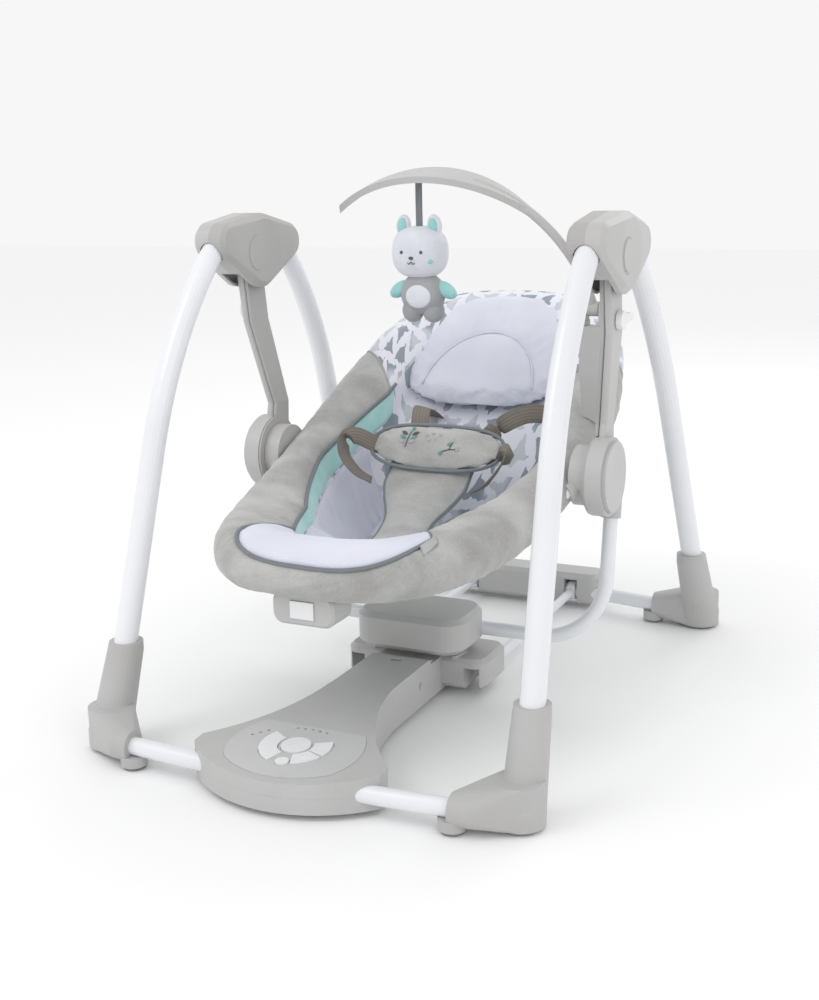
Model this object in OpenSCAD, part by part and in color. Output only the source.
// Portable baby swing: A-frame legs, motor-base console, pendulum arms and a
// reclining padded seat.  Millimetres, +Z up, -Y is the foot (front) side, the
// origin lies on the floor under the middle of the swing.

/* [Frame] */
// Height of the hub tops above the floor
frame_h = 590; // [560:5:640]
// Distance between the centre planes of the two hubs
hub_span = 472; // [460:2:520]
// Outer diameter of the leg tubes
leg_d = 27; // [24:1:30]
// Wall of every steel tube
tube_wall = 1.4; // [1:0.1:2]
// Lean of the straight lower front leg from vertical, degrees
front_lean = 17.5; // [15:0.5:20]
// Lean of the straight lower rear leg from vertical, degrees
rear_lean = 20.5; // [18:0.5:23]
// Outer diameter of the cross bars between the feet
bar_d = 20; // [17:1:22]
// Height of a foot shoe
foot_h = 116; // [95:1:130]

/* [Hubs and arms] */
// Width of a hub across both shells
hub_w = 52; // [46:1:58]
// Radius of the round part of a hub
hub_r = 46; // [42:1:50]
// Wall of the moulded shells
shell_wall = 2.8; // [2:0.1:4]
// Diameter of the swing axle
axle_d = 12; // [10:0.5:14]
// Running clearance of pins and axles, on the radius
run_gap = 0.06; // [0.03:0.01:0.1]
// Height of the seat pivot above the floor
seat_pivot_z = 283; // [270:1:295]
// Radius of the round housing at the seat pivot
housing_r = 47; // [42:1:50]

/* [U tube and pod] */
// Outer diameter of the U tube
u_tube_d = 17.5; // [15:0.5:19]
// Bend radius of the U tube
u_bend_r = 80; // [60:2:90]
// Length of the magnet pod from side to side
pod_w = 146; // [120:2:170]
// Depth of the pod from front to back
pod_d = 100; // [85:1:110]
// Height of the pod
pod_h = 45; // [38:1:48]
// Gap between the pod and the saddle below it
pod_gap = 9; // [7:0.5:12]

/* [Console] */
// Width of the console across its front wing
wing_w = 224; // [200:2:240]
// Width of the console spine
spine_w = 76; // [70:1:84]
// Width of the saddle under the pod
saddle_w = 190; // [176:2:200]
// Diameter of the thin link tubes
link_d = 12.5; // [10:0.5:14]

/* [Seat] */
// Distance from the swing plane to the foot end of the seat rim
seat_front = 295; // [270:5:310]
// Distance from the swing plane to the head end of the seat rim
seat_back = 343; // [310:5:355]
// Half width of the seat rim beside the pivots
seat_half_w = 168; // [150:1:172]
// Radius of the padded rim roll
roll_r = 28; // [22:1:29]
// Diameter of the seat frame tube
seat_tube_d = 14; // [12:0.5:16]
// Depth of the seat bucket under its rim
bucket_depth = 118; // [100:2:124]
// Thickness of the seat pad
pad_t = 14; // [8:1:16]

/* [Toy bar] */
// Radius of the toy bar arch
bar_r = 207; // [180:1:210]
// Diameter of the toy bar rod
rod_d = 11; // [9:0.5:13]
// Forward lean of the toy bar, degrees
bar_lean = 14; // [8:1:18]

/* [Hidden] */

plastic_grey = [0.77, 0.77, 0.765];
plastic_dark = [0.45, 0.45, 0.46];
tube_white = [0.95, 0.955, 0.965];
key_white = [0.96, 0.96, 0.96];
plush_grey = [0.73, 0.73, 0.715];
mesh_white = [0.87, 0.875, 0.92];
webbing = [0.55, 0.52, 0.49];
rubber_grey = [0.62, 0.62, 0.62];
steel = [0.7, 0.7, 0.72];

fine = 64;       // facets of round parts
soft = 28;       // facets of shapes that go into a hull
seat_gap = 0.4;  // clearance between pieces of different bodies
fit_gap = 0.05;  // clearance of tubes in their sockets

// ---- places that several pieces share
hub_x = hub_span / 2;
hub_y = 4;
hub_z = frame_h - hub_r;
front_splay = 1.75;
rear_splay = 4;
mouth_lean = 47;         // angle of a leg where it leaves its hub
front_mouth = [-75, 8];  // y and z of the leg mouths from the hub axis
rear_mouth = [82, 2];
socket_len = 18;
bend_steps = 10;
leg_sides = 20;          // facets of a swept leg tube
front_bend_r = 520;
rear_bend_r = 560;
front_joint_z = 251;     // height of the tube joints above the floor
rear_joint_z = 297;
spigot_len = 30;
collar_len = 12;          // part of a lower tube that carries its spigot
pad_h = 4;               // rubber pad under a foot
console_z = 7;           // underside of the console
bar_z = 25;              // centre of the cross bars, and the console's joint
link_x = 78;             // distance of a link tube from the middle

// ---- helper geometry
// cylinder between two points
module rod(p, q, d, fn = fine) {
  v = q - p;
  len = norm(v);
  translate(p)
    rotate([0, acos(v[2] / len), atan2(v[1], v[0])])
      cylinder(d = d, h = len, $fn = fn);
}

// tube between two points
module pipe(p, q, d, wall = tube_wall) {
  v = q - p;
  len = norm(v);
  translate(p)
    rotate([0, acos(v[2] / len), atan2(v[1], v[0])])
      difference() {
        cylinder(d = d, h = len, $fn = fine);
        translate([0, 0, -1]) cylinder(d = d - 2 * wall, h = len + 2, $fn = fine);
      }
}

// rounded slab along X: two stacked discs in a hull
module puck(y, z, r, w, edge) {
  translate([0, y, z]) rotate([0, 90, 0]) {
    cylinder(r = r, h = w - 2 * edge, center = true, $fn = soft);
    cylinder(r = r - edge, h = w, center = true, $fn = soft);
  }
}

// box with rounded vertical edges and a softened top and bottom
module soft_box(size, r, edge) {
  hull() for (sx = [-1, 1], sy = [-1, 1])
    translate([sx * (size[0] / 2 - r), sy * (size[1] / 2 - r), 0]) {
      translate([0, 0, edge]) cylinder(r = r, h = size[2] - 2 * edge, $fn = soft);
      cylinder(r = r - edge, h = size[2], $fn = soft);
    }
}

module both_sides() {
  children();
  mirror([1, 0, 0]) children();
}

// tangent at point i of a path
function along(p, i) = let (n = len(p) - 1, v = p[min(n, i + 1)] - p[max(0, i - 1)]) v / norm(v);
// ring of points round point i
function ring(p, i, r, sides) =
  let (t = along(p, i), u0 = cross(t, [0, 0, 1]), u = u0 / norm(u0), w = cross(u, t))
  [for (k = [0:sides - 1]) p[i] + r * (cos(360 * k / sides) * u + sin(360 * k / sides) * w)];
// solid cord along a path
module sweep(p, r, sides) {
  n = len(p);
  polyhedron(
    points = [for (i = [0:n - 1]) each ring(p, i, r, sides)],
    faces = concat(
      [[for (k = [0:sides - 1]) k]],
      [for (i = [0:n - 2], k = [0:sides - 1]) let (a = i * sides + k, b = i * sides + (k + 1) % sides)
        [a, a + sides, b + sides, b]],
      [[for (k = [sides - 1:-1:0]) (n - 1) * sides + k]]));
}
// open sleeve along a path, with an outer and an inner skin
module sleeve(p, r, r_in, sides) {
  n = len(p);
  m = n * sides;
  polyhedron(
    points = concat([for (i = [0:n - 1]) each ring(p, i, r, sides)],
                    [for (i = [0:n - 1]) each ring(p, i, r_in, sides)]),
    faces = concat(
      [for (i = [0:n - 2], k = [0:sides - 1]) let (a = i * sides + k, b = i * sides + (k + 1) % sides)
        [a, a + sides, b + sides, b]],
      [for (i = [0:n - 2], k = [0:sides - 1]) let (a = m + i * sides + k,
        b = m + i * sides + (k + 1) % sides)
        [b, b + sides, a + sides, a]],
      [for (k = [0:sides - 1]) let (b = (k + 1) % sides) [k, b, m + b, m + k]],
      [for (k = [0:sides - 1]) let (a = (n - 1) * sides + k, b = (n - 1) * sides + (k + 1) % sides)
        [a, m + a, m + b, b]]));
}

// ---- leg lines, in a vertical plane through the hub axis, as [y, z] from it
// a leg bends from mouth_lean to its own lean, then runs straight to the floor;
// side is -1 for a front leg and 1 for a rear leg
function bend_end(mouth, r, lean, side) =
  mouth + r * [side * (cos(lean) - cos(mouth_lean)), sin(lean) - sin(mouth_lean)];
function down(p, lean, side, z) = [p[0] + side * (p[1] - z) * tan(lean), z];
front_knee = bend_end(front_mouth, front_bend_r, front_lean, -1);
rear_knee = bend_end(rear_mouth, rear_bend_r, rear_lean, 1);

// puts its children in the plane of a leg: x right of the hub centre
module leg_plane(splay) {
  translate([hub_x, hub_y, hub_z]) rotate([0, -splay, 0]) children();
}

function to3(p) = [0, p[0], p[1]];
// x of a leg's centre line at height z above the floor
function leg_x(splay, z) = hub_x + (hub_z - z) * tan(splay);

front_joint = down(front_knee, front_lean, -1, front_joint_z - hub_z);
rear_joint = down(rear_knee, rear_lean, 1, rear_joint_z - hub_z);
front_foot_y = hub_y + down(front_knee, front_lean, -1, -hub_z)[0];
rear_foot_y = hub_y + down(rear_knee, rear_lean, 1, -hub_z)[0];
front_foot_x = leg_x(front_splay, 0);
rear_foot_x = leg_x(rear_splay, 0);

// direction of a leg at its mouth, pointing up and inwards
function mouth_dir(side) = [0, side * sin(mouth_lean), cos(mouth_lean)];

// swept tube: straight in the hub, one bend, then straight to the joint
module leg_upper(mouth, side, joint, r, lean) {
  c = mouth - r * [side * cos(mouth_lean), sin(mouth_lean)];
  bend = [for (i = [0:bend_steps]) let (a = mouth_lean + (lean - mouth_lean) * i / bend_steps)
    to3(c + r * [side * cos(a), sin(a)])];
  sleeve(concat([to3(mouth) + socket_len * mouth_dir(-side)], bend, [to3(joint)]),
    leg_d / 2, leg_d / 2 - tube_wall, leg_sides);
}

// straight lower tube, turned with the spigot that enters the upper one
module leg_lower(joint, lean, side) {
  foot = down(joint, lean, side, -hub_z + 30);
  len = norm(joint - foot);
  r = leg_d / 2;
  r_in = r - tube_wall;
  r_pin = r_in * cos(180 / leg_sides) - fit_gap;
  r_core = r_pin - tube_wall;
  translate(to3(foot)) rotate([side * lean, 0, 0]) rotate_extrude($fn = fine)
    polygon([[r_in, 0], [r, 0], [r, len], [r_pin, len], [r_pin, len + spigot_len],
      [r_core, len + spigot_len], [r_core, len - collar_len], [r_in, len - collar_len]]);
}

module front_leg_uppers() color(tube_white)
  both_sides() leg_plane(front_splay) leg_upper(front_mouth, -1, front_joint, front_bend_r, front_lean);
module rear_leg_uppers() color(tube_white)
  both_sides() leg_plane(rear_splay) leg_upper(rear_mouth, 1, rear_joint, rear_bend_r, rear_lean);
module front_leg_lowers() color(tube_white)
  both_sides() leg_plane(front_splay) leg_lower(front_joint, front_lean, -1);
module rear_leg_lowers() color(tube_white)
  both_sides() leg_plane(rear_splay) leg_lower(rear_joint, rear_lean, 1);

// ---- cross bars: one long bow between two feet
front_arm_x = 186;
rear_arm_x = 200;
front_bow = 10;   // how far the bow stands out in the middle
rear_bow = 29;
front_bar_y = front_foot_y - 35;
rear_bar_y = rear_foot_y - 13;
function bow_r(half, bow) = (half * half + bow * bow) / (2 * bow);
// y of a bow's centre line at distance x from the middle
function bow_y(half, bow, y_end, side, x) =
  y_end + side * (bow - bow_r(half, bow) + sqrt(pow(bow_r(half, bow), 2) - x * x));

// bow of radius r whose ends lie at x = +-half, y = y_end, bulging to side
module bow(half, bow_h, y_end, side, z, d, wall = tube_wall) {
  r = bow_r(half, bow_h);
  a = asin(half / r);
  translate([0, y_end - side * (r - bow_h), z])
    rotate([0, 0, side * 90 - a])
      rotate_extrude(angle = 2 * a, $fn = 240)
        translate([r, 0]) difference() {
          circle(d = d, $fn = 40);
          if (wall > 0) circle(d = d - 2 * wall, $fn = 40);
        }
}
bar_in = 26;      // depth of a bar end in its foot
module front_bar() color(tube_white)
  bow(front_arm_x + bar_in, front_bow, front_bar_y, -1, bar_z, bar_d);
module rear_bar() color(tube_white)
  bow(rear_arm_x + bar_in, rear_bow, rear_bar_y, 1, bar_z, bar_d);

// ---- feet
foot_wall = 6;
arm_r = bar_d / 2 + 7;

// shoe: an upright sleeve on the leg and an arm that holds the bar
module foot(side, splay, lean, joint, arm_x, arm_y, gx, gy) {
  top = [leg_x(splay, foot_h), gy - side * foot_h * tan(lean), foot_h];
  low = [gx, gy, 0];
  mid = [leg_x(splay, 50), gy - side * 50 * tan(lean), 50];
  difference() {
    union() {
      hull() {
        translate([top[0], top[1], foot_h - 12]) cylinder(d = leg_d + 2 * foot_wall, h = 12, $fn = soft);
        translate([mid[0], mid[1] + side * 3, 40])
          cylinder(d = leg_d + 2 * foot_wall + 5, h = 12, $fn = soft);
      }
      hull() {
        translate([mid[0], mid[1] + side * 3, 46])
          cylinder(d = leg_d + 2 * foot_wall + 5, h = 6, $fn = soft);
        translate([gx - 4, gy, pad_h]) cylinder(d = 54, h = 20, $fn = soft);
      }
      hull() {
        translate([gx - 4, gy, pad_h]) cylinder(d = 52, h = 46, $fn = soft);
        translate([arm_x + 6, arm_y, bar_z]) rotate([0, 90, 0]) cylinder(r = arm_r, h = 20, $fn = soft);
      }
      translate([arm_x + 6, arm_y, pad_h]) cylinder(r = 15, h = 12, $fn = soft);
    }
    // leg socket, blind at the bottom
    translate([hub_x, hub_y, hub_z]) rotate([0, -splay, 0])
      rod(to3(down(joint, lean, side, -hub_z + 30)), to3(joint), leg_d + 2 * fit_gap);
    bow(arm_x + bar_in + fit_gap, side < 0 ? front_bow : rear_bow, side < 0 ? front_bar_y : rear_bar_y,
      side, bar_z, bar_d + 2 * fit_gap, 0);
    translate([0, 0, -20]) cube([1200, 1200, 2 * (20 + pad_h)], center = true);
  }
}
front_arm_y = bow_y(front_arm_x + bar_in, front_bow, front_bar_y, -1, front_arm_x);
rear_arm_y = bow_y(rear_arm_x + bar_in, rear_bow, rear_bar_y, 1, rear_arm_x);
module front_foot() foot(-1, front_splay, front_lean, front_joint, front_arm_x, front_arm_y,
  front_foot_x, front_foot_y);
module rear_foot() foot(1, rear_splay, rear_lean, rear_joint, rear_arm_x, rear_arm_y,
  rear_foot_x, rear_foot_y);
module front_foot_right() color(plastic_grey) front_foot();
module front_foot_left() color(plastic_grey) mirror([1, 0, 0]) front_foot();
module rear_foot_right() color(plastic_grey) rear_foot();
module rear_foot_left() color(plastic_grey) mirror([1, 0, 0]) rear_foot();
module foot_pad_pair(gx, gy, ax, ay) both_sides() {
  translate([gx - 4, gy, 0]) cylinder(d = 44, h = pad_h, $fn = fine);
  translate([ax + 6, ay, 0]) cylinder(d = 24, h = pad_h, $fn = fine);
}
module front_foot_pads() color(rubber_grey)
  foot_pad_pair(front_foot_x, front_foot_y, front_arm_x, front_arm_y);
module rear_foot_pads() color(rubber_grey)
  foot_pad_pair(rear_foot_x, rear_foot_y, rear_arm_x, rear_arm_y);

// ---- hubs: an outer and an inner shell clamp the two legs and the axle
axle_grip = 10;         // length of an axle beyond the arm on each side
boss_half = 10;         // half width of the arm's top boss
boss_r = 20;
tongue = [-16, -2, 36]; // y, z and radius of the hub's lower front lobe
mouth_r = 23;           // radius of the hub where a leg leaves it
button_r = 20;
button_face = hub_w / 2;

// hub body, made smaller by inset all round
module hub_body(inset) {
  w = hub_w - 2 * inset;
  hull() {
    puck(0, 0, hub_r - inset, w, 7);
    puck(tongue[0], tongue[1], tongue[2] - inset, w - 2, 6);
    puck(front_mouth[0] + 8, front_mouth[1] + 6, mouth_r - inset, w - 8, 5);
    puck(rear_mouth[0] - 8, rear_mouth[1] + 6, mouth_r - inset, w - 8, 5);
  }
}

// front leg's end, as a cutter of diameter d, from a distance below its mouth
module leg_end(d, below, extra) rotate([0, -front_splay, 0])
  rod(to3(front_mouth) - below * mouth_dir(1), to3(front_mouth) + (socket_len + extra) * mouth_dir(1), d);

// space that the rear leg and its fitting sweep while the frame folds
fold_turn = 20;
fold_step = 4;
fitting_d = leg_d + 6;
module fold_space() rotate([90, 0, 90]) linear_extrude(fitting_d + 4, center = true)
  for (a = [1:-fold_step:-fold_turn - 1]) rotate(a) translate(rear_mouth) rotate(90 + mouth_lean)
    translate([-60, -fitting_d / 2 - 1]) square([60 + socket_len + 1.5, fitting_d + 2]);

module hub_shell(side) difference() {
  union() {
    difference() {
      hub_body(0);
      hub_body(shell_wall);
      // mouth for the arm, open at the bottom
      translate([-13, -44, -hub_r - 10]) cube([26, 96, hub_r]);
    }
    intersection() {
      hub_body(0.5);
      leg_end(leg_d + 6, 40, 3);
    }
    rotate([0, 90, 0]) translate([0, 0, side > 0 ? boss_half + 0.8 : -hub_w / 2 + 1])
      cylinder(r = axle_d / 2 + 5,
        h = hub_w / 2 - 1 - (side > 0 ? boss_half + 0.8 : plate_x[1] + 0.6), $fn = fine);
    if (side > 0) translate([button_face - 8.5, tongue[0], tongue[1]]) rotate([0, 90, 0])
      cylinder(r = button_r + 3, h = 8, $fn = fine);
  }
  leg_end(leg_d + 2 * fit_gap, 40, 0.5);
  leg_end(leg_d + 2, 40, -socket_len);
  fold_space();
  rotate([0, 90, 0]) translate([0, 0, side > 0 ? 0 : -boss_half - axle_grip - 0.5])
    cylinder(d = axle_d + 2 * fit_gap, h = boss_half + axle_grip + 0.5, $fn = fine);
  if (side > 0) translate([button_face - 6.5, tongue[0], tongue[1]]) rotate([0, 90, 0])
    cylinder(r = button_r + seat_gap, h = 20, $fn = fine);
  translate([side > 0 ? -100 : 0, -200, -200]) cube([100, 400, 400]);
}
// fitting that carries the rear leg on the axle, beside the arm
plate_x = [boss_half + 1, boss_half + 4.5];
plate_r = 12;
module fold_plates() color(plastic_grey) both_sides() at_hub() difference() {
  union() {
    rotate([0, -90, 0]) translate([0, 0, plate_x[0]])
      cylinder(r = plate_r, h = plate_x[1] - plate_x[0], $fn = fine);
    rotate([90, 0, 90]) translate([0, 0, -plate_x[1]]) linear_extrude(plate_x[1] - plate_x[0])
      polygon([[0, -plate_r], [rear_mouth[0] - 8, 2], [rear_mouth[0] - 12, rear_mouth[1] + 15], [0,
        plate_r]]);
    rotate([0, -rear_splay, 0])
      rod(to3(rear_mouth), to3(rear_mouth) + (socket_len + 1) * mouth_dir(-1), fitting_d);
  }
  rotate([0, 90, 0]) cylinder(r = axle_d / 2 + run_gap, h = 60, center = true, $fn = fine);
  rotate([0, -rear_splay, 0]) rod(to3(rear_mouth) - 20 * mouth_dir(-1),
    to3(rear_mouth) + (socket_len + 0.05) * mouth_dir(-1), leg_d + 2 * fit_gap);
}
module at_hub() translate([hub_x, hub_y, hub_z]) children();
module hub_outer_right() color(plastic_grey) at_hub() hub_shell(1);
module hub_outer_left() color(plastic_grey) mirror([1, 0, 0]) at_hub() hub_shell(1);
module hub_inner_shells() color(plastic_grey) both_sides() at_hub() {
  hub_shell(-1);
  translate([-hub_w / 2 - 0.8, tongue[0], tongue[1]]) rotate([0, 90, 0])
    cylinder(r = button_r + 2, h = 3, $fn = fine);
}
module hub_axles() color(steel) both_sides() at_hub() rotate([0, 90, 0])
  translate([0, 0, -boss_half - axle_grip])
    cylinder(d = axle_d, h = 2 * (boss_half + axle_grip), $fn = fine);
module fold_button() at_hub() translate([button_face - 4, tongue[0], tongue[1]]) rotate([0, 90, 0]) {
  cylinder(r = button_r, h = 4, $fn = fine);
  cylinder(r = button_r - 2, h = 5.4, $fn = fine);
}
module fold_button_right() color(plastic_grey) fold_button();
module fold_button_left() color(plastic_grey) mirror([1, 0, 0]) fold_button();

// ---- pendulum arms
housing_x = hub_x - 14;     // middle of the seat pivot housing
housing_y = 23;
housing_w = 24;             // width of the outer housing
cover_t = 2.4;              // inner cover of the housing
bush_wall = 2;
u_x = housing_x + 6;        // where the U tube stands
u_low = [25, 75];           // y and z of the U tube under the seat
u_top = [57, seat_pivot_z - 21];
u_len = norm(u_top - u_low);
u_lean = atan2(u_top[0] - u_low[0], u_top[1] - u_low[1]);
// stations of an arm: x, y, z and depth
arm_stations = [
  [hub_x - 0.5, 16, hub_z - 89, 44],
  [housing_x - 0.3, 40, seat_pivot_z + 62, 35],
  [housing_x - 0.3, 34, seat_pivot_z + 22, 42]
];
lock_pos = [hub_x + 8, 14, hub_z - 76];
lock_pin_d = 6;

// slice of an arm: a stadium of thickness t and depth dy
module arm_slice(s, x0, t, trim) translate([s[0] + x0 + t / 2, s[1], s[2]])
  for (e = [-1, 1]) translate([0, e * (s[3] - trim - t) / 2, 0]) cylinder(d = t, h = 1, $fn = soft);

// arm from the hub boss down to the housing, between x0 and x0 + t
module arm_blade(x0, t, trim, r) {
  hull() {
    translate([hub_x + x0, hub_y, hub_z]) rotate([0, 90, 0]) cylinder(r = r, h = t, $fn = soft);
    arm_slice(arm_stations[0], x0, t, trim);
  }
  for (i = [0, 1]) hull() {
    arm_slice(arm_stations[i], x0, t, trim);
    arm_slice(arm_stations[i + 1], x0, t, trim);
  }
}
module axle_hole(r) translate([hub_x - 30, hub_y, hub_z]) rotate([0, 90, 0])
  cylinder(r = r, h = 60, $fn = fine);
module u_frame() translate([0, u_low[0], u_low[1]]) rotate([-u_lean, 0, 0]) children();
module arm_outer() difference() {
  union() {
    arm_blade(-1, 9, 0, boss_r);
    axle_boss(-1, boss_half);
    // housing: a disc with a stepped dome, and the socket of the U tube
    translate([housing_x - 4, housing_y, seat_pivot_z]) rotate([0, 90, 0]) {
      cylinder(r = housing_r, h = housing_w - 5, $fn = fine);
      cylinder(r = housing_r - 5, h = housing_w, $fn = fine);
    }
    u_frame() translate([u_x, 0, u_len - 36]) cylinder(d = u_tube_d + 7, h = 36, $fn = fine);
  }
  axle_hole(axle_d / 2 + bush_wall + fit_gap);
  translate([housing_x - 5, housing_y, seat_pivot_z]) rotate([0, 90, 0])
    cylinder(d = seat_pin_d + 2 * run_gap, h = housing_w - 5, $fn = fine);
  u_frame() translate([u_x, 0, u_len - 60]) cylinder(d = u_tube_d + 2 * fit_gap, h = 60.5, $fn = fine);
  translate([lock_pos[0] - 7, lock_pos[1], lock_pos[2]]) rotate([0, 90, 0])
    cylinder(d = lock_pin_d + 2 * run_gap, h = 20, $fn = fine);
}
module axle_boss(x0, x1) translate([hub_x + x0, hub_y, hub_z]) rotate([0, 90, 0])
  cylinder(r = boss_r, h = x1 - x0, $fn = fine);
module arm_inner() difference() {
  union() {
    arm_blade(-6.4, 5, 3, boss_r - 1);
    axle_boss(-boss_half, -1.4);
    translate([housing_x - 4 - cover_t - 0.4, housing_y, seat_pivot_z]) rotate([0, 90, 0])
      cylinder(r = housing_r - 1, h = cover_t, $fn = fine);
  }
  axle_hole(axle_d / 2 + bush_wall + fit_gap);
  u_frame() translate([u_x, 0, u_len - 60]) cylinder(d = u_tube_d + 8, h = 60.5, $fn = fine);
  // the blade stops at the housing disc
  translate([housing_x - 4.4, housing_y, seat_pivot_z]) rotate([0, 90, 0])
    cylinder(r = housing_r + 1, h = 40, $fn = fine);
  translate([housing_x - 20, housing_y, seat_pivot_z]) rotate([0, 90, 0])
    cylinder(d = seat_pin_d + 2 * run_gap, h = 40, $fn = fine);
}
module arm_outer_right() color(plastic_grey) arm_outer();
module arm_outer_left() color(plastic_grey) mirror([1, 0, 0]) arm_outer();
module arm_inner_covers() color(plastic_grey) both_sides() arm_inner();
module hub_bushes() color(key_white) both_sides() at_hub() rotate([0, 90, 0]) difference() {
  cylinder(r = axle_d / 2 + bush_wall, h = 2 * boss_half, center = true, $fn = fine);
  cylinder(r = axle_d / 2 + run_gap, h = 3 * boss_half, center = true, $fn = fine);
}

// lever that locks the arm, turning on a short pin
module swing_lock() translate(lock_pos) {
  rotate([0, 90, 0]) translate([0, 0, -6]) cylinder(d = lock_pin_d, h = 8, $fn = fine);
  rotate([0, 90, 0]) translate([0, 0, seat_gap]) cylinder(r = 11, h = 7, $fn = fine);
  hull() {
    rotate([0, 90, 0]) translate([0, 0, 2]) cylinder(r = 7, h = 5, $fn = soft);
    translate([0, 22, 3]) rotate([0, 90, 0]) translate([0, 0, 3]) cylinder(r = 4, h = 8, $fn = soft);
  }
}
module swing_lock_right() color(key_white) swing_lock();
module swing_lock_left() color(key_white) mirror([1, 0, 0]) swing_lock();

// ---- U tube and pod
module u_tube() color(tube_white) u_frame() {
  side_x = u_x - u_bend_r;
  for (s = [-1, 1]) {
    pipe([s * u_x, 0, u_bend_r], [s * u_x, 0, u_len], u_tube_d);
    translate([s * side_x, 0, u_bend_r]) rotate([90, 0, 0]) rotate([0, 0, s > 0 ? -90 : 180])
      rotate_extrude(angle = 90, $fn = 96) translate([u_bend_r, 0]) difference() {
        circle(d = u_tube_d, $fn = 40);
        circle(d = u_tube_d - 2 * tube_wall, $fn = 40);
      }
  }
  pipe([-side_x, 0, 0], [side_x, 0, 0], u_tube_d);
}
pod_y = -7;
pod_low = 60;
magnet_r = 15;
module pod_solid() translate([0, pod_y, pod_low]) soft_box([pod_w, pod_d, pod_h], 30, 6);
module pod_hollow(z0, z1) translate([0, pod_y - 14, 0]) translate([-pod_w / 2 + 12, -pod_d / 2 + 22, z0])
  cube([pod_w - 24, pod_d - 48, z1 - z0]);
module u_hole() translate([-200, u_low[0], u_low[1]]) rotate([0, 90, 0])
  cylinder(d = u_tube_d + 2 * fit_gap, h = 400, $fn = fine);
module pod_cover() color(plastic_grey) difference() {
  pod_solid();
  u_hole();
  pod_hollow(pod_low - 1, pod_low + pod_h - 4);
  translate([-200, -200, -1]) cube([400, 400, u_low[1] + 1]);
}
module pod_base() color(plastic_grey) difference() {
  pod_solid();
  u_hole();
  pod_hollow(pod_low + 3, pod_low + pod_h);
  translate([-200, -200, u_low[1]]) cube([400, 400, 200]);
}
module pod_magnets() color(steel) for (s = [-1, 1])
  translate([s * 30, pod_y - 12, pod_low + 3]) cylinder(r = magnet_r, h = 8, $fn = fine);

// ---- console
console_nose = 40.6;
console_front = front_bar_y - front_bow - console_nose;
wing_r = 148;                      // radius of the bowed front edge
wing_y = console_front + wing_r;
wing_back = wing_y + 100;          // where the flared sides meet the spine
spine_back = 60;
saddle_y = [-32, 53];
saddle_top = pod_low - pod_gap;
spine_top = 58;
ramp_y = -180;                     // the top falls forwards from here
ramp = 4.6;
function top_z(y) = spine_top - max(0, ramp_y - y) * tan(ramp);
panel_tilt = ramp;
panel_y = console_front + 68;
panel_t = 2.5;
base_wall = 2.6;

// right half of the console's outline, inset all round
function half_outline(inset) =
  let (w = wing_w / 2, h = spine_w / 2, r = wing_r - inset,
       flank = (pow(w - h, 2) + 180 * 180) / (2 * (w - h)),
       a0 = asin((w - inset) / r),
       a1 = acos((flank - (w - h)) / flank))
  concat(
    [for (i = [0:8]) [r * sin(a0 * i / 8), wing_y - r * cos(a0 * i / 8)]],
    [for (i = [0:10]) let (a = a1 * (1 - i / 10), f = flank + inset)
      [h + flank - f * cos(a), wing_back - f * sin(a)]],
    [[h - inset, spine_back - inset]]);
module outline(inset) {
  p = half_outline(inset);
  polygon(concat(p, [for (i = [len(p) - 1:-1:1]) [-p[i][0], p[i][1]]]));
}
// side profile of the cover, lowered by drop
module cover_profile(drop, x) {
  translate([-x, 0, 0]) rotate([90, 0, 90]) linear_extrude(2 * x)
    polygon([[console_front - 5, -10], [console_front - 5, top_z(console_front - 5) - drop],
      [ramp_y, spine_top - drop], [-66, spine_top - drop], [-60, saddle_top - drop],
      [spine_back + 5, saddle_top - drop], [spine_back + 5, -10]]);
}
screw_spots = [[30, -130], [80, console_front + 90], [26, 46]];
screw_d = 3.4;
module screw_posts(d, z0, z1) both_sides() for (p = screw_spots)
  translate([p[0], p[1], z0]) cylinder(d = d, h = z1 - z0, $fn = 32);
module bar_hole() bow(front_arm_x + bar_in, front_bow, front_bar_y, -1, bar_z, bar_d + 2 * fit_gap, 0);

// battery compartment under the spine
door_size = [62, 112, base_wall];
door_y = -198;
cell_r = 13;
cell_len = 50;
coil_r = 26;
speaker_pos = [0, -100];

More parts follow.
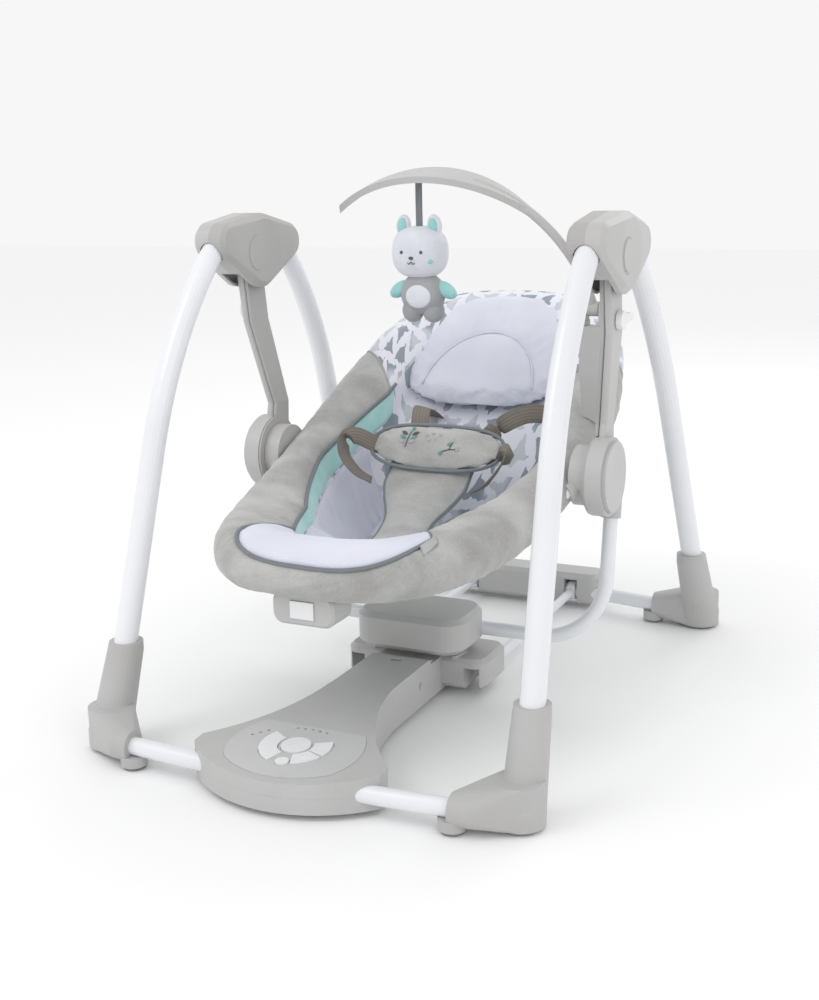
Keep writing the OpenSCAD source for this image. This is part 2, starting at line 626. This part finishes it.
module console_base() color(plastic_grey) difference() {
  union() {
    difference() {
      translate([0, 0, console_z]) linear_extrude(bar_z - console_z) outline(0);
      translate([0, 0, console_z + base_wall]) linear_extrude(40) outline(base_wall);
    }
    intersection() {
      translate([0, 0, console_z]) linear_extrude(bar_z - console_z) outline(0);
      union() {
        screw_posts(9, console_z, bar_z);
        // cradles that hold the front bar
        for (s = [-1, 1]) translate([s * 60 - 6, console_front + 23, console_z])
          cube([12, 34, bar_z - console_z]);
      }
    }
  }
  bar_hole();
  screw_posts(screw_d + 0.3, console_z - 1, bar_z + 1);
  screw_posts(6.4, console_z - 1, console_z + 4);
  translate([-door_size[0] / 2, door_y - door_size[1] / 2, console_z - 1])
    cube([door_size[0], door_size[1], base_wall + 2]);
}
module console_cover() color(plastic_grey) difference() {
  union() {
    intersection() {
      translate([0, 0, bar_z + seat_gap / 4]) linear_extrude(60) outline(0);
      cover_profile(0, 200);
    }
    // saddle, with ends that turn down over the link tubes
    translate([0, (saddle_y[0] + saddle_y[1]) / 2, 12]) difference() {
      soft_box([saddle_w, saddle_y[1] - saddle_y[0], saddle_top - 12], 18, 5);
      translate([-spine_w / 2, -100, -1]) cube([spine_w, 200, bar_z - 11 + seat_gap / 4]);
    }
    // lip round the recess that the pod hangs over
    intersection() {
      translate([0, pod_y, saddle_top - 1]) difference() {
        cylinder(r = 62, h = 4, $fn = fine);
        translate([0, 0, -1]) cylinder(r = 58, h = 8, $fn = fine);
      }
      translate([-100, saddle_y[0] - 30, 0]) cube([200, 60, 90]);
      union() {
        linear_extrude(90) outline(2);
        translate([-saddle_w / 2 + 20, saddle_y[0] + 1, 0]) cube([saddle_w - 40, 60, 90]);
      }
    }
    both_sides() translate([spine_w / 2 - 1, -92, 34]) rotate([0, 90, 0]) cylinder(r = 4, h = 3, $fn = 32);
  }
  // hollow inside
  difference() {
    intersection() {
      linear_extrude(80) outline(base_wall);
      cover_profile(base_wall, 200);
    }
    screw_posts(9, bar_z - 1, 80);
  }
  bar_hole();
  screw_posts(screw_d - 0.3, bar_z - 1, bar_z + 13);
  // channels for the link tubes, open below and at both ends
  for (s = [-1, 1]) translate([s * link_x - 10, -100, -1]) cube([20, 200, 41]);
  // opening that the control panel fills
  on_panel() translate([0, 0, -6]) linear_extrude(20) panel_shape(-0.2);
  // slot that shows the coil housing's latch
  translate([0, -80, 40]) hull() for (s = [-1, 1])
    translate([s * 5, 0, 0]) cylinder(r = 3, h = 40, $fn = soft);
}
module battery_door() color(plastic_grey) translate([0, door_y, console_z])
  difference() {
    translate([-door_size[0] / 2 + 0.4, -door_size[1] / 2 + 0.4, 0])
      cube([door_size[0] - 0.8, door_size[1] - 0.8, base_wall - 0.2]);
    translate([0, -door_size[1] / 2 + 10, -1]) cylinder(r = 2, h = 10, $fn = 32);
  }
module batteries() color([0.35, 0.5, 0.42]) both_sides() for (k = [-1, 1])
  translate([cell_r + 1, door_y + k * (cell_len / 2 + 1) - cell_len / 2,
    console_z + base_wall + cell_r + 0.5])
    rotate([-90, 0, 0]) cylinder(r = cell_r, h = cell_len, $fn = fine);
module drive_coil() color([0.72, 0.45, 0.25]) translate([0, 2, saddle_top - base_wall - 13]) difference() {
  cylinder(r = coil_r, h = 12, $fn = fine);
  translate([0, 0, -1]) cylinder(r = 9, h = 20, $fn = fine);
}
module speaker() color(plastic_dark) translate([speaker_pos[0], speaker_pos[1], 33]) {
  cylinder(r = 12, h = 8, $fn = fine);
  translate([0, 0, 8]) cylinder(r = 20, h = 5, $fn = fine);
}
module console_screws() color(steel) both_sides() for (p = screw_spots)
  translate([p[0], p[1], console_z + 1]) {
    cylinder(d = 5.8, h = 2.6, $fn = 32);
    cylinder(d = screw_d - 0.4, h = 28, $fn = 32);
  }

// ---- control panel: a plate let into the wing, with keys that press into it
module on_panel() translate([0, panel_y, top_z(panel_y)]) rotate([panel_tilt, 0, 0]) children();
key_ring = [20, 40];       // inner and outer radius of the side keys
key_centre = [0, 8];
big_key_r = 16.5;
small_key = [3, -27, 7.5];
key_gap = 0.5;
// shield with a bowed front, grown by more
module panel_shape(more) {
  intersection() {
    translate([0, 6]) circle(r = 76 + more, $fn = fine);
    translate([0, 42]) circle(r = 100 + more, $fn = fine);
    translate([-78 - more, -70]) square([156 + 2 * more, 122 + more]);
  }
}
module wedge(a0, a1) polygon(concat([[0, 0]],
  [for (i = [0:6]) let (a = a0 + (a1 - a0) * i / 6) 60 * [cos(a), sin(a)]]));
module ring_key(a0, a1, more) translate(key_centre) intersection() {
  difference() {
    circle(r = key_ring[1] + more, $fn = fine);
    circle(r = key_ring[0] - more, $fn = fine);
  }
  wedge(a0 - more * 1.4, a1 + more * 1.4);
}
module key_shape(k, more) {
  if (k == "power") translate(key_centre) circle(r = big_key_r + more, $fn = fine);
  if (k == "timer") translate([small_key[0], small_key[1]]) circle(r = small_key[2] + more, $fn = fine);
  if (k == "mode") ring_key(150, 250, more);
  if (k == "speed") ring_key(-18, 28, more);
  if (k == "melody") ring_key(-70, -22, more);
}
keys = ["power", "timer", "mode", "speed", "melody"];
light_r = 1.6;
module lights() {
  for (i = [-1:1]) translate([-52 + 6 * i, 22 + 7 * i]) circle(r = light_r, $fn = 24);
  for (i = [-2:2]) translate([9 * i, 46 - abs(i)]) circle(r = light_r, $fn = 24);
}
module control_panel() color([0.82, 0.82, 0.815]) on_panel() translate([0, 0, -panel_t])
  linear_extrude(panel_t + 0.4) difference() {
    panel_shape(-0.5);
    for (k = keys) key_shape(k, key_gap);
    lights();
  }
module key(k) color(key_white) on_panel() translate([0, 0, -panel_t - 0.6])
  linear_extrude(panel_t + 2.4) key_shape(k, 0);
module power_button() key("power");
module timer_button() key("timer");
module mode_button() key("mode");
module speed_button() key("speed");
module melody_button() key("melody");
module circuit_board() color([0.2, 0.42, 0.3]) on_panel() translate([-48, 0, -panel_t - 5])
  cube([96, 40, 1.6]);

// ---- rear bridge and link tubes
bridge_reach = [-18, 32.4];
bridge_y = [rear_bar_y + rear_bow + bridge_reach[0], rear_bar_y + rear_bow + bridge_reach[1]];
bridge_w = 240;
eye_r = 14;
link_y = bow_y(rear_arm_x + bar_in, rear_bow, rear_bar_y, 1, link_x);
link_front = 12;
module rear_bridge() color(plastic_grey) difference() {
  translate([0, (bridge_y[0] + bridge_y[1]) / 2, 8])
    soft_box([bridge_w, bridge_y[1] - bridge_y[0], 46], 16, 6);
  bow(rear_arm_x + bar_in, rear_bow, rear_bar_y, 1, bar_z, bar_d + 2 * fit_gap, 0);
  // recesses in which the link eyes turn on the bar
  for (s = [-1, 1]) translate([s * link_x - 10, 0, 0]) {
    translate([0, bridge_y[0] - 5, -1]) cube([20, link_y + eye_r + 3 - bridge_y[0] + 5, 46]);
  }
}
module link_tubes() color(tube_white) both_sides() {
  pipe([link_x, link_front, bar_z], [link_x, link_y - eye_r + 2, bar_z], link_d, 1.2);
  translate([link_x - 6, link_y, bar_z]) rotate([0, 90, 0]) difference() {
    cylinder(r = eye_r, h = 12, $fn = fine);
    translate([0, 0, -1]) cylinder(r = bar_d / 2 + 1.4, h = 14, $fn = fine);
  }
}

// ---- seat
seat_pin_d = 18;
seat_hub_w = 20;
seat_hub_x = housing_x - 4 - cover_t - 0.4 - seat_gap - seat_hub_w;
rim_mid = (seat_back - seat_front) / 2;
rim_half = (seat_back + seat_front) / 2;
front_fullness = 3;     // how square the foot end of the rim is
back_fullness = 2.6;
rim_rise = 0.338;       // slope of the rim at the pivots
rim_curl = 0.00069;     // how fast that slope grows towards the head
head_level_y = 220;     // where the head end starts to level out
head_level = 0.00165;   // how fast it levels out
function rim_z(y) = seat_pivot_z - 11 + rim_rise * (y - 8) + rim_curl * pow(y - 8, 2)
  - head_level * pow(max(0, y - head_level_y), 2);
function spow(v, e) = sign(v) * pow(abs(v), e);
// point of the rim at angle a, moved inwards by inset and scaled by s
function rim_xy(a, inset, s) =
  let (e = 2 / (sin(a) < 0 ? front_fullness : back_fullness),
       y = rim_mid + s * (rim_half - inset) * spow(sin(a), e))
  [s * (seat_half_w + 0.08 * (y - 8) - inset) * spow(cos(a), e), y];
function rim_at(a) = let (p = rim_xy(a, 0, 1)) [p[0], p[1], rim_z(p[1])];
function depth_at(y) = y > 20
  ? max(bucket_depth - 68, bucket_depth - 0.0036 * pow(y - 20, 2))
  : max(bucket_depth - 76, bucket_depth - 0.0045 * pow(y - 20, 2));

foot_arc = [8, 172];
head_arc = [7, 173];
foot_path = [for (i = [0:26]) rim_at(-foot_arc[0] - (foot_arc[1] - foot_arc[0]) * i / 26)];
head_path = [for (i = [0:26]) rim_at(head_arc[0] + (head_arc[1] - head_arc[0]) * i / 26)];
hub_mid_x = seat_hub_x + seat_hub_w / 2;
// tube end inside its socket
foot_root = [hub_mid_x, housing_y - 22, seat_pivot_z - 9];
head_root = [hub_mid_x, housing_y + 20, seat_pivot_z + 9];
function flip(p) = [-p[0], p[1], p[2]];
function unit(v) = v / norm(v);
module seat_socket(root, out, d, more) {
  dir = unit(out - root);
  rod(root - more * dir, root + 20 * dir, d);
}
module seat_hub() difference() {
  union() {
    translate([seat_hub_x, housing_y, seat_pivot_z]) rotate([0, 90, 0]) {
      cylinder(r = 36, h = seat_hub_w, $fn = fine);
      cylinder(d = seat_pin_d, h = seat_hub_w + 18, $fn = fine);
    }
    seat_socket(foot_root, foot_path[0], seat_tube_d + 6, 0);
    seat_socket(head_root, head_path[0], seat_tube_d + 6, 0);
  }
  rod(foot_root, foot_path[0], seat_tube_d + 2 * fit_gap);
  rod(head_root, head_path[0], seat_tube_d + 2 * fit_gap);
}
module seat_hub_right() color(plastic_grey) seat_hub();
module seat_hub_left() color(plastic_grey) mirror([1, 0, 0]) seat_hub();
module seat_loop(root, path) sweep(concat([root], path, [flip(root)]), seat_tube_d / 2, 12);
module seat_frame_loops() color(tube_white) {
  seat_loop(foot_root + 2 * unit(foot_path[0] - foot_root), foot_path);
  seat_loop(head_root + 2 * unit(head_path[0] - head_root), head_path);
}
function inner_part(p) = [for (i = [1:len(p) - 2]) p[i]];
module seat_rim_roll() color(plush_grey) {
  sleeve(inner_part(foot_path), roll_r, seat_tube_d / 2 + 1, 16);
  sleeve(inner_part(head_path), roll_r, seat_tube_d / 2 + 1, 16);
}

// bucket: rings of points from the middle to the rim, above and below
rings = 8;
spokes = 40;
pad_inset = roll_r + 2;
function bucket_top(s, xy) = rim_z(xy[1]) + 8 - depth_at(xy[1]) * (1 - pow(s, 4));
module seat_pad() color(mesh_white) {
  grid = [for (j = [1:rings], i = [0:spokes - 1]) let (s = pow(j / rings, 0.8),
    xy = rim_xy(360 * (i + 0.5) / spokes, pad_inset, s))
    [xy[0], xy[1], bucket_top(s, xy)]];
  under = [for (p = grid) p - [0, 0, pad_t]];
  n = len(grid);
  mid = [0, rim_mid, bucket_top(0, [0, rim_mid])];
  polyhedron(
    points = concat(grid, under, [mid, mid - [0, 0, pad_t]]),
    faces = concat(
      [for (j = [0:rings - 2], i = [0:spokes - 1], h = [0, 1])
        let (a = j * spokes + i, b = j * spokes + (i + 1) % spokes)
        h == 0 ? [a, a + spokes, b] : [b, a + spokes, b + spokes]],
      [for (j = [0:rings - 2], i = [0:spokes - 1], h = [0, 1])
        let (a = n + j * spokes + i, b = n + j * spokes + (i + 1) % spokes)
        h == 0 ? [b, a + spokes, a] : [b + spokes, a + spokes, b]],
      [for (i = [0:spokes - 1]) [2 * n, i, (i + 1) % spokes]],
      [for (i = [0:spokes - 1]) [2 * n + 1, n + (i + 1) % spokes, n + i]],
      [for (i = [0:spokes - 1], h = [0, 1])
        let (a = n - spokes + i, b = n - spokes + (i + 1) % spokes)
        h == 0 ? [a, n + a, b] : [b, n + a, n + b]]));
}

// ---- vibration unit under the foot end
unit_size = [74, 44, 36];
unit_y = -seat_front + 16;
unit_top = rim_z(-seat_front) - roll_r + 3;
module unit_space(inset) translate([0, unit_y, unit_top - unit_size[2] / 2])
  rotate([90, 0, 0]) translate([0, 0, -unit_size[1] / 2 + inset])
    soft_box([unit_size[0] - 2 * inset, unit_size[2] - 2 * inset, unit_size[1] - 2 * inset], 12 - inset, 3);
module vibration_housing() color(plastic_grey) difference() {
  unit_space(0);
  unit_space(4);
  // saddle that fits the rim roll
  rod([-unit_size[0], -seat_front, rim_z(-seat_front)], [unit_size[0], -seat_front, rim_z(-seat_front)],
    2 * (roll_r + 0.9));
  translate([0, unit_y, unit_top - unit_size[2] / 2]) rotate([90, 0, 0])
    translate([0, 0, unit_size[1] / 2 - 4]) linear_extrude(10) unit_key(seat_gap);
}
module unit_key(more) square([28 + 2 * more, 19 + 2 * more], center = true);
module vibration_button() color(key_white) translate([0, unit_y, unit_top - unit_size[2] / 2])
  rotate([90, 0, 0]) translate([0, 0, unit_size[1] / 2 - 5]) linear_extrude(7) unit_key(0);
module vibration_motor() color(steel) translate([-14, unit_y + 6, unit_top - unit_size[2] / 2])
  rotate([0, 90, 0]) cylinder(d = 20, h = 28, $fn = fine);

// ---- soft pieces on the seat
pillow_low = [0, 172, 330];
pillow_lean = 40;
module head_pillow() color(mesh_white) translate(pillow_low) rotate([pillow_lean, 0, 0]) hull() {
  translate([0, 88, 0]) soft_box([110, 130, 12], 30, 5);
  translate([0, 92, 20]) soft_box([216, 196, 14], 78, 6);
}
module crotch_piece() color(plush_grey) hull() {
  translate([0, -86, 206]) rotate([28, 0, 0]) soft_box([66, 20, 12], 9, 3);
  translate([0, 14, 260]) rotate([28, 0, 0]) soft_box([104, 26, 12], 9, 3);
}
module belt_pad() color(plush_grey) translate([0, 44, 300]) rotate([48, 0, 0])
  translate([0, 0, -7]) soft_box([176, 66, 14], 32, 5);
strap_t = 2.4;
strap_w = 24;
module strap_end(p, tilt) translate(p) rotate(tilt) cube([strap_t, strap_w, 2], center = true);
module harness_straps() color(webbing) both_sides() {
  hull() {
    strap_end([98, 46, 302], [0, 70, 0]);
    strap_end([112, 40, 298], [0, 20, 0]);
  }
  hull() {
    strap_end([112, 40, 298], [0, 20, 0]);
    strap_end([106, 34, 250], [0, 0, 0]);
  }
  hull() {
    strap_end([52, 92, 334], [0, 90, 90]);
    strap_end([66, 130, 342], [0, 90, 90]);
  }
}

// ---- toy bar on a post at the right side of the head loop
mount_pos = [186, 108, 470];
mount_a = asin(pow((mount_pos[1] - rim_mid) / rim_half, back_fullness / 2));  // its angle on the rim
mount_dir = unit(rim_at(mount_a + 3) - rim_at(mount_a - 3));
arch_mid = [-17, -40];
arch_ends = [12, 129];
bar_pin_d = 8;
leaf_half = 23;     // half width of the leaf in its middle
leaf_r = 400;       // radius of the leaf's long edges, seen from above
leaf_x = 8;         // middle of the leaf from the arch's centre
module in_bar_plane() translate([0, mount_pos[1], mount_pos[2]]) rotate([bar_lean, 0, 0]) children();
module toy_bar_mount() color(plastic_grey) difference() {
  union() {
    hull() {
      translate([mount_pos[0], mount_pos[1] - 4, mount_pos[2] - 50]) cube([26, 24, 60], center = true);
      translate([mount_pos[0] + 2, mount_pos[1] + 2, rim_z(mount_pos[1]) + roll_r / 2 + 4])
        cube([20, 24, 16], center = true);
    }
    for (s = [-1, 1]) translate([mount_pos[0] + s * 10.5 - 2.5, mount_pos[1], mount_pos[2]]) {
      rotate([0, 90, 0]) cylinder(r = 11, h = 5, $fn = fine);
      translate([0, -11, -22]) cube([5, 22, 22]);
    }
  }
  translate([mount_pos[0] - 30, mount_pos[1], mount_pos[2]]) rotate([0, 90, 0])
    cylinder(d = bar_pin_d + 2 * run_gap, h = 60, $fn = fine);
  translate([mount_pos[0] - 9, -200, mount_pos[2] - 14]) cube([18, 600, 60]);
  // the foot fits the rim roll
  rod(rim_at(mount_a) - 60 * mount_dir, rim_at(mount_a) + 60 * mount_dir, 2 * (roll_r + 0.3));
}
module toy_bar() color(plastic_grey) in_bar_plane() {
  translate([mount_pos[0], 0, 0]) rotate([0, 90, 0]) {
    cylinder(r = 9, h = 15, center = true, $fn = fine);
    cylinder(d = bar_pin_d, h = 26, center = true, $fn = fine);
  }
  translate([arch_mid[0], 0, arch_mid[1]]) rotate([90, 0, 0]) {
    rotate([0, 0, arch_ends[0]]) rotate_extrude(angle = 60, $fn = 180) translate([bar_r, 0])
      circle(d = rod_d, $fn = 32);
    // leaf: an arched band cut to a pointed outline
    intersection() {
      rotate([0, 0, 50]) rotate_extrude(angle = arch_ends[1] - 50, $fn = 180)
        translate([bar_r - 4, -24]) square([8, 48]);
      rotate([90, 0, 0]) intersection() {
        translate([leaf_x, leaf_r - leaf_half, 0]) cylinder(r = leaf_r, h = 900, center = true, $fn = 180);
        translate([leaf_x, leaf_half - leaf_r, 0]) cylinder(r = leaf_r, h = 900, center = true, $fn = 180);
      }
    }
  }
  hull() {
    translate([mount_pos[0], 0, 0]) sphere(d = rod_d, $fn = soft);
    translate([arch_mid[0] + bar_r * cos(arch_ends[0]), 0, arch_mid[1] + bar_r * sin(arch_ends[0])])
      sphere(d = rod_d, $fn = soft);
  }
}
toy_x = -27;
toy_top = arch_mid[1] + sqrt(bar_r * bar_r - pow(toy_x - arch_mid[0], 2)) - 5;
hang = [toy_x, mount_pos[1] - toy_top * sin(bar_lean), mount_pos[2] + toy_top * cos(bar_lean)];
module hanging_toy() color(mesh_white) translate(hang) {
  translate([-5, -1.2, -46]) cube([10, 2.4, 44]);
  hull() for (s = [-1, 1]) translate([s * 12, 0, -76]) sphere(r = 27, $fn = soft);
  hull() {
    translate([0, 0, -104]) sphere(r = 16, $fn = soft);
    translate([0, 0, -136]) sphere(r = 21, $fn = soft);
  }
  for (s = [-1, 1]) translate([s * 21, 0, -46]) cylinder(r = 7, h = 18, $fn = soft);
}

front_leg_uppers();
front_leg_lowers();
front_foot_left();
front_foot_right();
front_foot_pads();
front_bar();
hub_outer_left();
hub_outer_right();
hub_inner_shells();
hub_axles();
console_base();
console_cover();
control_panel();
power_button();
timer_button();
mode_button();
speed_button();
melody_button();
battery_door();
batteries();
circuit_board();
speaker();
drive_coil();
console_screws();
fold_button_left();
fold_button_right();
rear_leg_uppers();
rear_leg_lowers();
rear_foot_left();
rear_foot_right();
rear_foot_pads();
rear_bar();
rear_bridge();
fold_plates();
link_tubes();
hub_bushes();
arm_outer_left();
arm_outer_right();
arm_inner_covers();
swing_lock_left();
swing_lock_right();
u_tube();
pod_cover();
pod_base();
pod_magnets();
seat_hub_left();
seat_hub_right();
seat_frame_loops();
seat_rim_roll();
seat_pad();
vibration_housing();
vibration_button();
vibration_motor();
head_pillow();
crotch_piece();
belt_pad();
harness_straps();
toy_bar_mount();
toy_bar();
hanging_toy();
